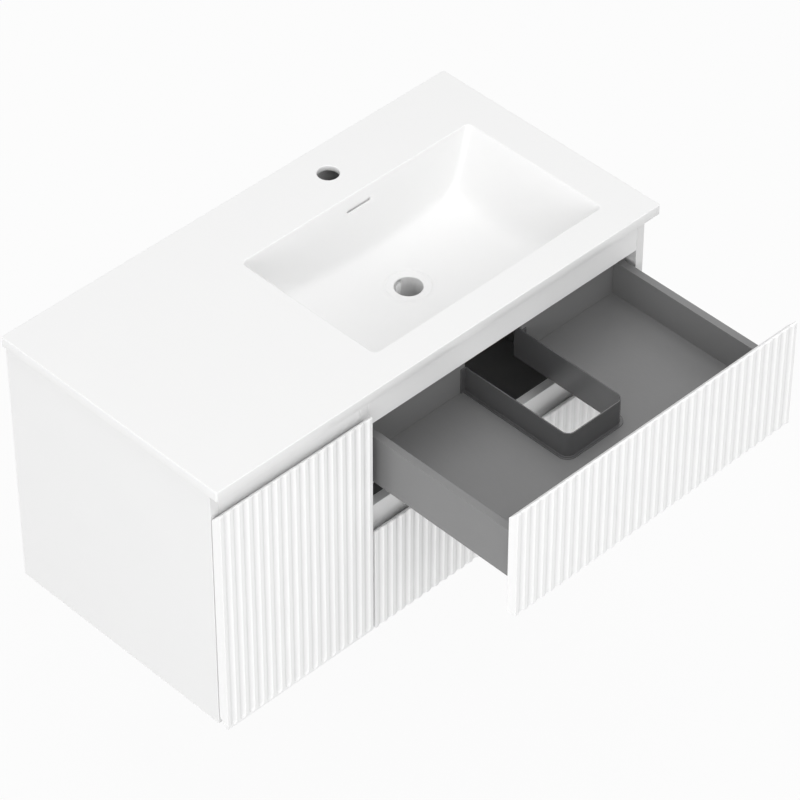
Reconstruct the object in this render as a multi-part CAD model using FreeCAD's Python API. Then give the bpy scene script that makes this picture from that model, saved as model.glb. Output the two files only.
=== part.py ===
"""Wall-hung vanity unit with an integral basin, a fluted door and two fluted drawers.

Millimetres, +Z up, +X to the right, -Y towards the user. The wall is the plane Y = 0 and the origin is the
centre of the four wall screws. The upper drawer is drawn partly open, the door and the lower drawer closed.
"""
import FreeCAD
import Part
import math
import os

Vector = FreeCAD.Vector
UP = Vector(0, 0, 1)
RIGHT = Vector(1, 0, 0)
LEFT = Vector(-1, 0, 0)
BACK = Vector(0, 1, 0)

# Overall sizes
worktop_width = 900.0
worktop_depth = 460.0
worktop_thickness = 18.0
worktop_edge_radius = 1.5
worktop_overhang = 7.0
carcass_height = 466.0
worktop_front_overhang = 3.0
panel_thickness = 16.0
back_inset = 15.0
hang_drop = 92.0
cut_overrun = 1.0

# Fronts and their flutes
front_thickness = 18.0
front_standoff = 2.0
front_gap = 4.0
finger_gap = 35.0
middle_finger_gap = 31.0
groove_pitch = 18.1
rib_width = 6.5
groove_depth = 2.4
groove_end_land = 4.0
lip_thickness = 3.3
bevel_drop = 17.0

# Basin
basin_width = 473.0
basin_front_ledge = 57.0
basin_back_ledge = 121.0
basin_side_ledge = 67.5
basin_drawer_ledge = 52.3
basin_rim_radius = 9.0
basin_floor_radius = 30.0
basin_wall_depth = 95.0
basin_side_run = 45.0
basin_end_run = 17.0
basin_blend = 24.0
basin_blend_shares = (0.0, 0.25, 0.5, 0.75, 1.0)
basin_back_fall = 6.0
basin_shell = 9.0
basin_floor_shell = 6.0
drain_depth = 117.0
drain_back_ledge = 232.0
drain_radius = 22.5
drain_recess_radius = 33.0
drain_recess_depth = 2.0
drain_boss_radius = 32.0
drain_boss_drop = 45.0
tap_radius = 17.5
tap_back_ledge = 58.5
tap_deck_thickness = 10.0
tap_pocket_radius = 27.0
overflow_width = 49.0
overflow_height = 5.0
overflow_drop = 25.0
duct_depth = 7.0
duct_wall = 5.0
duct_outlet_width = 18.0
duct_outlet_height = 7.0

# Rails, back and shelf
rail_height = 72.0
back_rail_height = 50.0
back_panel_thickness = 6.0
service_width = 260.0
service_height = 100.0
shelf_thickness = 16.0
shelf_setback = 30.0
shelf_side_gap = 1.0
shelf_pin_radius = 2.5
shelf_pin_depth = 8.0
shelf_pin_reach = 9.0
shelf_pin_inset = 60.0
dowel_radius = 4.0
dowel_length = 30.0
dowel_bury = 10.0
dowel_inset = 18.0
dowel_stagger = 12.0
hole_clearance = 0.1

# Drawer boxes
side_gap = 8.5
side_thickness = 13.0
side_below_front_top = 61.0
side_above_front_foot = 49.0
box_wall_gap = 112.0
box_floor_thickness = 12.0
runner_recess = 15.0
box_back_drop = 8.0
box_back_thickness = 13.0
front_dowel_reach = 8.0
front_dowel_bury = 20.0
front_dowel_inset = 20.0
upper_rest_overlap = 43.5

# Opening for the trap in the upper drawer
trap_width = 120.0
trap_length = 212.0
trap_wall = 2.0
trap_height = 47.0
trap_corner_radius = 14.0
trap_flange_width = 5.0
trap_flange_thickness = 2.0
trap_ear_width = 9.0

# Drawer runners: a fixed rail, a middle channel and a drawer channel, one inside the other
runner_wall_gap = 107.0
runner_steel = 1.5
runner_clearance = 0.4
runner_rail_width = 8.0
runner_foot_gap = 1.5
runner_flange_height = 30.0
runner_side_offset = 3.0
runner_rear_stop = 6.0
runner_screw_inset = 40.0

# Door hinges
hinge_inset = 85.0
hinge_pin_edge = 5.5
hinge_pin_radius = 1.4
hinge_pin_fit = 0.05
hinge_knuckle_radius = 2.5
hinge_knuckle_height = 6.0
hinge_cup_radius = 17.5
hinge_cup_edge = 2.6
hinge_cup_depth = 12.5
hinge_cup_wall = 1.0
hinge_cup_flange = 1.2
hinge_cup_flange_height = 46.0
hinge_cup_flange_width = 15.0
hinge_arm_thickness = 4.0
hinge_arm_length = 62.0
hinge_arm_gap = 0.8
hinge_arm_tuck = 3.2
hinge_plate_length = 42.0
hinge_plate_height = 34.0
bumper_radius = 4.0
bumper_inset = 40.0
bumper_drop = 26.0

# Wall hangers
hanger_width = 18.0
hanger_height = 52.0
hanger_depth = 38.0
hanger_wall_gap = 9.0
hook_width = 12.0
hook_steel = 2.5
hook_drop = 14.0
hook_play = 0.5
plate_width = 46.0
plate_flat_height = 42.0
plate_steel = 2.5
plate_step = 5.5
plate_lip_height = 16.0
plate_hole_radius = 3.25
plate_hole_spacing = 28.0
plate_side_inset = 6.0
hanger_screw_shares = (0.25, 0.75)

# Screws
screw_radius = 1.8
screw_length = 12.0
screw_head_radius = 3.6
screw_head_height = 2.0

# Levels, widths and planes that follow from the sizes above
carcass_top = hang_drop
carcass_bottom = carcass_top - carcass_height
worktop_top = carcass_top + worktop_thickness
worktop_bottom = carcass_top
half_cabinet = worktop_width / 2 - worktop_overhang
front_face_y = worktop_front_overhang - worktop_depth
front_back_y = front_face_y + front_thickness
front_edge_y = front_back_y + front_standoff
rail_back_y = -back_inset
door_top = carcass_top - finger_gap
drawer_front_height = (carcass_height - finger_gap - middle_finger_gap) / 2
upper_front_bottom = door_top - drawer_front_height
lower_front_top = carcass_bottom + drawer_front_height
drawer_pitch = door_top - lower_front_top
basin_right = worktop_width / 2 - basin_side_ledge
basin_left = basin_right - basin_width
basin_centre_x = (basin_left + basin_right) / 2
drawer_left = basin_left - basin_drawer_ledge
door_left = -half_cabinet
door_right = drawer_left - front_gap
side_inner = half_cabinet - panel_thickness
divider_left = door_right + front_gap / 2 - panel_thickness / 2
divider_right = divider_left + panel_thickness
box_left = divider_right + side_gap
box_right = side_inner - side_gap
box_top = door_top - side_below_front_top
box_bottom = upper_front_bottom + side_above_front_foot
box_floor_bottom = box_bottom + runner_recess
box_floor_top = box_floor_bottom + box_floor_thickness
box_back_top = box_top - box_back_drop
box_rear_y = -box_wall_gap
box_back_y = box_rear_y - box_back_thickness
runner_rear_y = -runner_wall_gap
upper_open_at_rest = runner_rear_y - front_edge_y - upper_rest_overlap
trap_centre_x = basin_centre_x
trap_left = trap_centre_x - trap_width / 2
trap_right = trap_centre_x + trap_width / 2
trap_front_y = box_back_y - trap_length
drain_y = -drain_back_ledge
drain_z = worktop_top - drain_depth
tap_y = -tap_back_ledge
plate_centre_x = side_inner - plate_side_inset - plate_width / 2
parts = {}


def block(x0, x1, y0, y1, z0, z1):
    """A rectangular board between two planes along each axis."""
    return Part.makeBox(x1 - x0, y1 - y0, z1 - z0, Vector(x0, y0, z0))


def rod(radius, start, direction, length):
    """A round bar from a point along a direction."""
    return Part.makeCylinder(radius, length, start, direction)


def prism(points, along):
    """A flat outline carried along a vector."""
    return Part.Face(Part.makePolygon(points + [points[0]])).extrude(along)


def group(shapes):
    """Several separate solids kept together in one node."""
    return Part.makeCompound(shapes)


def rounded_outline(x0, x1, y0, y1, z, radius, fall=0):
    """A rectangle with round corners, as one closed wire, level or falling towards the back."""
    radius = min(radius, (x1 - x0) / 2, (y1 - y0) / 2)
    slope = 2 * fall / (y1 - y0)
    middle_y = (y0 + y1) / 2
    corners = ((x1, y1, 0), (x0, y1, 90), (x0, y0, 180), (x1, y0, 270))
    ends = []
    for x, y, turn in corners:
        cx = x - radius if x == x1 else x + radius
        cy = y - radius if y == y1 else y + radius
        arc = []
        for step in range(3):
            angle = math.radians(turn + step * 90 / 2)
            y_arc = cy + radius * math.sin(angle)
            arc.append(Vector(cx + radius * math.cos(angle), y_arc, z - slope * (y_arc - middle_y)))
        ends.append(arc)
    edges = []
    for index, (start, middle, end) in enumerate(ends):
        edges.append(Part.Arc(start, middle, end).toShape())
        edges.append(Part.makeLine(end, ends[(index + 1) % len(ends)][0]))
    return Part.Wire(edges)


def screw(start, direction):
    """A pan-head screw whose head bears on the point given and whose shank follows the direction."""
    head = rod(screw_head_radius, start - direction * screw_head_height, direction, screw_head_height)
    return head.fuse(rod(screw_radius, start, direction, screw_length)).removeSplitter()


def screw_hole(start, direction, depth):
    """The hole for a screw's shank, a little wider than the shank."""
    return rod(screw_radius + hole_clearance, start, direction, depth)


def basin_corner_points(run, reach):
    """The three points of a wall's blend into the floor: on the wall, at the foot and on the floor.

    Each point is an inset from the rim and a depth below it. The floor falls from the foot to the drain.
    """
    slant = math.hypot(run, basin_wall_depth)
    fall = (drain_depth - basin_wall_depth) / (reach - run)
    wall = (run - basin_blend * run / slant, basin_wall_depth - basin_blend * basin_wall_depth / slant)
    floor = (run + basin_blend, basin_wall_depth + basin_blend * fall)
    return wall, (run, basin_wall_depth), floor


def blend(points, share):
    """A point on the curve that leaves the first point and meets the last, drawn towards the middle one."""
    weights = ((1 - share) ** 2, 2 * share * (1 - share), share ** 2)
    return tuple(sum(w * p[axis] for w, p in zip(weights, points)) for axis in range(2))


def basin_sections(grow, sink):
    """Outlines down the bowl, from the rim to the drain, grown and sunk by the shell of the casting."""
    x0, x1 = basin_left, basin_right
    y1 = -basin_back_ledge
    y0 = basin_front_ledge - worktop_depth
    side_points = basin_corner_points(basin_side_run, basin_width / 2)
    end_points = basin_corner_points(basin_end_run, basin_width / 2)
    outlines = []
    for share in basin_blend_shares:
        side_inset, depth = blend(side_points, share)
        end_inset = blend(end_points, share)[0]
        part_way = depth / drain_depth
        radius = basin_rim_radius + (basin_floor_radius - basin_rim_radius) * part_way
        side_step, end_step = side_inset - grow, end_inset - grow
        level = worktop_top - depth - sink
        outlines.append(rounded_outline(x0 + side_step, x1 - side_step, y0 + end_step, y1 - end_step, level,
                                        radius + grow, basin_back_fall * part_way))
    rim = rounded_outline(x0 - grow, x1 + grow, y0 - grow, y1 + grow, worktop_top - sink,
                          basin_rim_radius + grow)
    reach = drain_recess_radius
    drain = rounded_outline(basin_centre_x - reach, basin_centre_x + reach, drain_y - reach, drain_y + reach,
                            drain_z - sink, basin_floor_radius)
    return [rim] + outlines + [drain]


def overflow_duct():
    """The casting's duct behind and below the bowl, and the passage inside it from the slot to the drain."""
    half = overflow_width / 2
    x0, x1 = basin_centre_x - half, basin_centre_x + half
    mouth = -basin_back_ledge - basin_end_run
    back = -basin_back_ledge + basin_shell
    passage_back = back + duct_depth
    outlet_top = drain_z - basin_floor_shell
    outlet_bottom = outlet_top - duct_outlet_height
    bottom = outlet_bottom - duct_wall
    tank = block(x0 - duct_wall, x1 + duct_wall, mouth, passage_back + duct_wall, bottom, worktop_bottom)
    slot_bottom = worktop_top - overflow_drop - overflow_height / 2
    slot_top = slot_bottom + overflow_height
    slot = block(x0, x1, mouth, passage_back, slot_bottom, slot_top)
    fall = block(x0, x1, back, passage_back, outlet_bottom, slot_top)
    x0, x1 = basin_centre_x - duct_outlet_width / 2, basin_centre_x + duct_outlet_width / 2
    neck = block(x0 - duct_wall, x1 + duct_wall, drain_y, back, bottom, worktop_top - basin_wall_depth)
    run = block(x0, x1, drain_y, passage_back, outlet_bottom, outlet_top)
    return tank.fuse(neck), slot.fuse([fall, run])


def make_worktop():
    """The cast top: a slab with the bowl, tap hole, overflow and waste hole in one piece.

    A round pocket under the tap hole thins the slab there, for the tap's nut.
    """
    half = worktop_width / 2
    slab = block(-half, half, -worktop_depth, 0, worktop_bottom, worktop_top)
    corners = [e for e in slab.Edges if e.BoundBox.ZLength > worktop_edge_radius]
    upper = [e for e in slab.Edges if e.BoundBox.ZMin > worktop_top - worktop_edge_radius]
    slab = slab.makeFillet(worktop_edge_radius, corners + upper)
    inside = Part.makeLoft(basin_sections(0, 0), True, True)
    outside = Part.makeLoft(basin_sections(basin_shell, basin_floor_shell), True, True)
    duct, passage = overflow_duct()
    boss_bottom = drain_z - drain_boss_drop
    boss = rod(drain_boss_radius, Vector(basin_centre_x, drain_y, boss_bottom), UP, drain_boss_drop)
    drain_start = Vector(basin_centre_x, drain_y, boss_bottom - cut_overrun)
    drain = rod(drain_radius, drain_start, UP, drain_boss_drop + drain_recess_depth + 2 * cut_overrun)
    recess = rod(drain_recess_radius, Vector(basin_centre_x, drain_y, drain_z - drain_recess_depth), UP,
                 drain_recess_depth + cut_overrun)
    tap = rod(tap_radius, Vector(basin_centre_x, tap_y, worktop_bottom - cut_overrun), UP,
              worktop_thickness + 2 * cut_overrun)
    pocket = rod(tap_pocket_radius, Vector(basin_centre_x, tap_y, worktop_bottom - cut_overrun), UP,
                 worktop_thickness - tap_deck_thickness + cut_overrun)
    cuts = [inside, passage, recess, drain, tap, pocket]
    return slab.fuse([outside, duct, boss]).cut(cuts).removeSplitter()


def dowel_places():
    """Where dowels cross from level boards into the uprights, and the ways into the uprights."""
    places = []
    middle_y = front_edge_y + panel_thickness / 2
    back_y = rail_back_y - panel_thickness / 2
    levels = {"top": carcass_top - rail_height / 2, "middle": upper_front_bottom - rail_height / 2,
              "high_back": carcass_top - back_rail_height / 2,
              "low_back": carcass_bottom + panel_thickness + back_rail_height / 2}
    spans = {"left_front_rail": ("top", middle_y, -side_inner, divider_left, rail_height),
             "right_front_rail": ("top", middle_y, divider_right, side_inner, rail_height),
             "middle_front_rail": ("middle", middle_y, divider_right, side_inner, rail_height),
             "left_back_rail": ("high_back", back_y, -side_inner, divider_left, back_rail_height),
             "right_back_rail": ("high_back", back_y, divider_right, side_inner, back_rail_height),
             "lower_back_rail": ("low_back", back_y, divider_right, side_inner, back_rail_height)}
    for board, (level, y, x0, x1, height) in spans.items():
        stagger = dowel_stagger if board.startswith("left") else 0
        for rise in (-1, 1):
            z = levels[level] + rise * (height / 2 - dowel_inset) + stagger
            places += [(Vector(x0, y, z), LEFT), (Vector(x1, y, z), RIGHT)]
    bottom_z = carcass_bottom + panel_thickness / 2
    for y in (front_edge_y + 2 * dowel_inset, rail_back_y - 2 * dowel_inset):
        places += [(Vector(-side_inner, y, bottom_z), LEFT), (Vector(side_inner, y, bottom_z), RIGHT)]
    return places


def dowel(place, outward, radius, spare):
    """A dowel, or its hole when given a spare length, with its shorter end in the upright."""
    return rod(radius, place + outward * (dowel_bury + spare), -outward, dowel_length + 2 * spare)


def fluted_front(x0, x1, z0, z1, stopped_foot):
    """A lacquered board with upright hollow flutes, and a bevel behind its thin top lip to pull it by.

    The flutes run out through the lip. A stopped foot has the bevel too, and the flutes end round above it.
    """
    board = block(x0, x1, front_face_y, front_back_y, z0, z1)
    groove_count = round((x1 - x0 - rib_width) / groove_pitch)
    pitch = (x1 - x0 - rib_width) / groove_count
    half_chord = (pitch - rib_width) / 2
    groove_radius = (half_chord ** 2 + groove_depth ** 2) / (2 * groove_depth)
    axis_y = front_face_y - (groove_radius - groove_depth)
    top = z1 + cut_overrun
    foot = z0 + groove_end_land + half_chord if stopped_foot else z0 - cut_overrun
    cutters = []
    for index in range(groove_count):
        x = x0 + rib_width + half_chord + index * pitch
        cutter = rod(groove_radius, Vector(x, axis_y, foot), UP, top - foot)
        if stopped_foot:
            end = Part.makeSphere(groove_radius, Vector(x, axis_y, foot))
            cutter = cutter.fuse(end).removeSplitter()
        cutters.append(cutter)
    lip_y = front_face_y + lip_thickness
    bevel = [Vector(x0 - cut_overrun, lip_y, z1), Vector(x0 - cut_overrun, front_back_y, z1 - bevel_drop),
             Vector(x0 - cut_overrun, front_back_y + cut_overrun, z1 - bevel_drop),
             Vector(x0 - cut_overrun, front_back_y + cut_overrun, z1 + cut_overrun),
             Vector(x0 - cut_overrun, lip_y, z1 + cut_overrun)]
    cutters.append(prism(bevel, RIGHT * (x1 - x0 + 2 * cut_overrun)))
    if stopped_foot:
        centre = (z0 + z1) / 2
        cutters.append(cutters[-1].mirror(Vector(0, 0, centre), UP))
    return board.cut(cutters)


def hinge_levels():
    """Heights of the two hinges, near the top and the foot of the door."""
    return {"upper": door_top - hinge_inset, "lower": carcass_bottom + hinge_inset}


def hinge_pin_place(z):
    """A point on the pin's axis: near the door's edge, at the middle of its thickness."""
    return Vector(door_left + hinge_pin_edge, front_back_y - front_thickness / 2, z)


def hinge_cup_centre(z):
    """Centre of the round cup on the door's back face."""
    return Vector(door_left + hinge_cup_edge + hinge_cup_radius, front_back_y, z)


def hinge_cup_hole(z):
    """The round hole in the door for a cup, a little wider and deeper than the cup."""
    depth = hinge_cup_depth + hole_clearance
    start = hinge_cup_centre(z) - BACK * depth
    return rod(hinge_cup_radius + hole_clearance, start, BACK, depth + cut_overrun)


def make_hinge_cup(z):
    """A round pressed cup with a flange on the door's back and two ears that hold the pin."""
    centre = hinge_cup_centre(z)
    pin = hinge_pin_place(z)
    body = rod(hinge_cup_radius, centre - BACK * hinge_cup_depth, BACK, hinge_cup_depth + hinge_cup_flange)
    half_height = hinge_cup_flange_height / 2
    flange_back = front_back_y + hinge_cup_flange
    flange = block(centre.x, centre.x + hinge_cup_flange_width, front_back_y, flange_back, z - half_height,
                   z + half_height)
    hollow = rod(hinge_cup_radius - hinge_cup_wall, centre - BACK * (hinge_cup_depth - hinge_cup_wall), BACK,
                 hinge_cup_depth + hinge_cup_flange + cut_overrun)
    ear_reach = hinge_knuckle_radius
    ears = block(centre.x - hinge_cup_radius, pin.x + ear_reach, pin.y - ear_reach, pin.y + ear_reach,
                 z - hinge_cup_radius, z + hinge_cup_radius)
    back = flange_back + cut_overrun
    space_reach = hinge_knuckle_radius + hinge_arm_gap
    space_half = hinge_knuckle_height / 2 + hinge_arm_gap
    space = block(door_left, pin.x + space_reach, pin.y - space_reach, back, z - space_half, z + space_half)
    ears = ears.common(rod(hinge_cup_radius, centre - BACK * hinge_cup_depth, BACK, hinge_cup_depth))
    mouth = block(door_left, centre.x, front_back_y, back, z - hinge_cup_radius, z + hinge_cup_radius)
    hole = rod(hinge_pin_radius + hole_clearance / 2, pin - UP * hinge_cup_radius, UP, 2 * hinge_cup_radius)
    cup = body.fuse(flange).cut([hollow, mouth]).fuse(ears).cut([hole, space])
    for start in hinge_cup_screws(z):
        cup = cup.cut(screw_hole(start + BACK * cut_overrun, -BACK, 2 * hinge_cup_flange + cut_overrun))
    return cup.removeSplitter()


def hinge_cup_screws(z):
    """Where the cup's two screw heads bear, above and below the cup."""
    x = hinge_cup_centre(z).x + hinge_cup_flange_width / 2
    rise = (hinge_cup_radius + hinge_cup_flange_height / 2) / 2
    return [Vector(x, front_back_y + hinge_cup_flange, z + side * rise) for side in (-1, 1)]


def make_hinge_pin(z):
    """The steel pin that the door turns on, as long as the cup is wide there."""
    offset = hinge_cup_centre(z).x - hinge_pin_place(z).x
    half = math.sqrt(hinge_cup_radius ** 2 - (offset + hinge_pin_radius) ** 2)
    return rod(hinge_pin_radius, hinge_pin_place(z) - UP * half, UP, 2 * half)


def make_hinge_arm(z):
    """A goose-neck arm from the knuckle round the pin back along the side panel, with its mounting plate."""
    pin = hinge_pin_place(z)
    half = hinge_knuckle_height / 2
    knuckle = rod(hinge_knuckle_radius, pin - UP * half, UP, 2 * half)
    near = -side_inner + hinge_arm_gap
    far = near + hinge_arm_thickness
    reach = block(pin.x, far, pin.y - hinge_arm_tuck / 2, pin.y + hinge_arm_tuck / 2, z - half, z + half)
    rear = front_edge_y + hinge_arm_length
    neck = block(near, far, pin.y - hinge_arm_tuck / 2, rear, z - half, z + half)
    plate_half = hinge_plate_height / 2
    plate = block(-side_inner, far, rear - hinge_plate_length, rear, z - plate_half, z + plate_half)
    hole_half = half + cut_overrun
    hole = rod(hinge_pin_radius + hinge_pin_fit, pin - UP * hole_half, UP, 2 * hole_half)
    arm = knuckle.fuse([reach, neck, plate]).cut(hole)
    for start in hinge_plate_screws(z):
        arm = arm.cut(screw_hole(start + RIGHT * cut_overrun, LEFT, far + side_inner + 2 * cut_overrun))
    return arm.removeSplitter()


def hinge_plate_screws(z):
    """Where the mounting plate's two screw heads bear, on the plate's inner face."""
    x = -side_inner + hinge_arm_gap + hinge_arm_thickness
    y = front_edge_y + hinge_arm_length - hinge_plate_length / 2
    rise = (hinge_plate_height / 2 + hinge_knuckle_height / 2) / 2
    return [Vector(x, y, z + side * rise) for side in (-1, 1)]


def bumpers(places):
    """Soft buffers as thick as the gap behind a front, less a hair."""
    return group([rod(bumper_radius, place, BACK, front_standoff - hole_clearance) for place in places])


def slide_out(shape, distance):
    """The shape moved towards the user."""
    moved = shape.copy()
    moved.translate(-BACK * distance)
    return moved


def runner_lines():
    """Centre of each runner and the side it is screwed to, for the left and the right runner."""
    half = runner_channel_half()
    left = box_left + side_thickness + runner_side_offset + half
    right = box_right - side_thickness - runner_side_offset - half
    return {"left": (left, divider_right, 1), "right": (right, side_inner, -1)}


def runner_channel_half():
    """Half the width of the outermost channel, from the rail outwards."""
    return runner_rail_width / 2 + 2 * (runner_clearance + runner_steel)


def runner_foot_top(drop):
    """Level of the fixed rail's foot, just under the drawer's sides."""
    return box_bottom - runner_foot_gap - drop


def runner_flange_screws(side, drop):
    """Where the screw heads bear on a fixed runner's upright flange."""
    _, wall, inward = runner_lines()[side]
    z = runner_foot_top(drop) - runner_flange_height / 2
    ys = (front_edge_y + runner_screw_inset, runner_rear_y - runner_screw_inset)
    return [(Vector(wall + inward * runner_steel, y, z), RIGHT * -inward) for y in ys]


def make_fixed_runner(side, drop):
    """The cabinet's part of a runner: a flange on the upright, a foot below the drawer and a rail on it."""
    centre, wall, inward = runner_lines()[side]
    y0, y1 = front_edge_y, runner_rear_y
    foot_top = runner_foot_top(drop)
    channel_top = box_floor_bottom - drop
    rail_top = channel_top - 2 * (runner_steel + runner_clearance)
    inner = centre + inward * runner_channel_half()
    x0, x1 = sorted((wall, wall + inward * runner_steel))
    flange = block(x0, x1, y0, y1, foot_top - runner_flange_height, foot_top)
    x0, x1 = sorted((wall, inner))
    foot = block(x0, x1, y0, y1, foot_top - runner_steel, foot_top)
    half = runner_rail_width / 2
    rail = block(centre - half, centre + half, y0, y1, foot_top, rail_top)
    runner = flange.fuse([foot, rail])
    depth = runner_steel + 2 * cut_overrun
    for start, direction in runner_flange_screws(side, drop):
        runner = runner.cut(screw_hole(start - direction * cut_overrun, direction, depth))
    return runner.removeSplitter()


def make_channel(side, drop, step, y0, y1):
    """A folded channel, open below, around the rail or around the channel inside it."""
    centre = runner_lines()[side][0]
    inner_half = runner_rail_width / 2 + runner_clearance + step * (runner_steel + runner_clearance)
    outer_half = inner_half + runner_steel
    top = box_floor_bottom - drop - (1 - step) * (runner_steel + runner_clearance)
    foot = runner_foot_top(drop) + runner_clearance
    body = block(centre - outer_half, centre + outer_half, y0, y1, foot, top)
    hollow = block(centre - inner_half, centre + inner_half, y0 - cut_overrun, y1 + cut_overrun,
                   foot - cut_overrun, top - runner_steel)
    return body.cut(hollow)


def trap_outline(grow, z, rear_y):
    """The trap opening's outline, with round front corners, grown by a width, at a level."""
    radius = trap_corner_radius + grow
    return rounded_outline(trap_left - grow, trap_right + grow, trap_front_y - grow, rear_y + 2 * radius, z,
                           radius)


def trap_column(grow, z0, z1, rear_y):
    """A block with the outline of the trap opening, cut off square at the rear."""
    column = Part.Face(trap_outline(grow, z0, rear_y)).extrude(UP * (z1 - z0))
    far = rear_y + 2 * (trap_corner_radius + trap_width)
    return column.cut(block(trap_left - trap_width, trap_right + trap_width, rear_y, far, z0 - cut_overrun,
                            z1 + cut_overrun))


def make_trap_surround():
    """The moulded wall in the trap opening: a thin U with a flange on the floor and ears at the back."""
    top = box_floor_top + trap_height
    wall = trap_column(0, box_floor_bottom, top, box_rear_y)
    flange = trap_column(trap_flange_width, box_floor_top, box_floor_top + trap_flange_thickness, box_back_y)
    ears = block(trap_left - trap_ear_width, trap_right + trap_ear_width, box_back_y - trap_wall, box_back_y,
                 box_floor_top, top)
    hollow = trap_column(-trap_wall, box_floor_bottom - cut_overrun, top + cut_overrun,
                         box_rear_y + cut_overrun)
    return wall.fuse([flange, ears]).cut(hollow).removeSplitter()


def front_dowel_places(drop):
    """Ends of the dowels between a drawer's sides and its front, on the front's back face."""
    places = []
    for x in (box_left + side_thickness / 2, box_right - side_thickness / 2):
        for z in (box_top - front_dowel_inset, box_bottom + front_dowel_inset):
            places.append(Vector(x, front_back_y, z - drop))
    return places


def front_dowel(place, radius, spare):
    """A dowel, or its hole when given a spare length, from inside the front into a side's end."""
    start = place - BACK * (front_dowel_reach + spare)
    return rod(radius, start, BACK, front_dowel_reach + front_dowel_bury + 2 * spare)


def make_drawer(name, drop, out, with_trap):
    """One drawer: fluted front, grey box and runner channels, lowered and moved out as a whole."""
    top, bottom = box_top - drop, box_bottom - drop
    floor_top, floor_bottom = box_floor_top - drop, box_floor_bottom - drop
    front_top = door_top - drop
    front = fluted_front(drawer_left, half_cabinet, front_top - drawer_front_height, front_top, False)
    holes = [front_dowel(p, dowel_radius + hole_clearance, hole_clearance) for p in front_dowel_places(drop)]
    inner_left, inner_right = box_left + side_thickness, box_right - side_thickness
    back_top = box_back_top - drop
    pieces = {
        "front": front.cut(holes),
        "left_side": block(box_left, inner_left, front_back_y, box_rear_y, bottom, top).cut(holes),
        "right_side": block(inner_right, box_right, front_back_y, box_rear_y, bottom, top).cut(holes),
        "front_dowels": group([front_dowel(p, dowel_radius, 0) for p in front_dowel_places(drop)]),
    }
    floor = block(inner_left, inner_right, front_back_y, box_rear_y, floor_bottom, floor_top)
    if with_trap:
        opening = trap_column(0, floor_bottom - cut_overrun, floor_top + cut_overrun,
                              box_rear_y + cut_overrun)
        pieces["floor"] = floor.cut(opening)
        pieces["back_left"] = block(inner_left, trap_left, box_back_y, box_rear_y, floor_top, back_top)
        pieces["back_right"] = block(trap_right, inner_right, box_back_y, box_rear_y, floor_top, back_top)
        pieces["trap_surround"] = make_trap_surround()
    else:
        pieces["floor"] = floor
        pieces["back"] = block(inner_left, inner_right, box_back_y, box_rear_y, floor_top, back_top)
    for side in ("left", "right"):
        pieces[side + "_channel"] = make_channel(side, drop, 1, front_back_y + runner_rear_stop, box_rear_y)
    bumper_z = front_top - bumper_drop
    pieces["bumpers"] = bumpers([Vector(x, front_back_y, bumper_z) for x in
                                 (drawer_left + bumper_inset, half_cabinet - bumper_inset)])
    for piece, shape in pieces.items():
        parts[name + "_drawer_" + piece] = slide_out(shape, out)
    for side in ("left", "right"):
        middle = make_channel(side, drop, 0, front_edge_y + runner_rear_stop, runner_rear_y)
        parts[name + "_runner_" + side + "_middle"] = slide_out(middle, out / 2)
        parts[name + "_runner_" + side + "_rail"] = make_fixed_runner(side, drop)


def shelf_level():
    """Underside of the shelf, half way between the bottom panel and the top."""
    return carcass_bottom + panel_thickness + (carcass_height - panel_thickness) / 2 - shelf_thickness / 2


def shelf_pin(x, y, inward, spare):
    """One shelf pin, or its hole when given a spare size."""
    z = shelf_level() - shelf_pin_radius
    start = Vector(x - inward * (shelf_pin_depth + spare), y, z)
    return rod(shelf_pin_radius + spare, start, RIGHT * inward, shelf_pin_depth + shelf_pin_reach + spare)


def shelf_pin_places():
    """The pins' four seats: two in the side panel and two in the divider."""
    ys = (front_edge_y + shelf_setback + shelf_pin_inset,
          rail_back_y - back_panel_thickness - shelf_pin_inset)
    return [(x, y, inward) for x, inward in ((-side_inner, 1), (divider_left, -1)) for y in ys]


def make_back_panels(left_foot, right_foot, top):
    """Thin back panels, notched for the hangers, the right one with a way through for the pipes."""
    y0, y1 = rail_back_y - back_panel_thickness, rail_back_y
    notch_inner = side_inner - hanger_width - hook_steel
    notch_foot = hanger_bottom() - hook_steel
    y_cut = (y0 - cut_overrun, y1 + cut_overrun)
    left = block(-side_inner, divider_left, y0, y1, left_foot, top)
    left_notch = block(-side_inner - cut_overrun, -notch_inner, *y_cut, notch_foot, top + cut_overrun)
    parts["left_back_panel"] = left.cut(left_notch)
    right = block(divider_right, side_inner, y0, y1, right_foot, top)
    right_notch = block(notch_inner, side_inner + cut_overrun, *y_cut, notch_foot, top + cut_overrun)
    x0, x1 = basin_centre_x - service_width / 2, basin_centre_x + service_width / 2
    service_foot = (box_bottom + box_top - drawer_pitch - service_height) / 2
    service = block(x0, x1, *y_cut, service_foot, service_foot + service_height)
    parts["right_back_panel"] = right.cut([right_notch, service])


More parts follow.
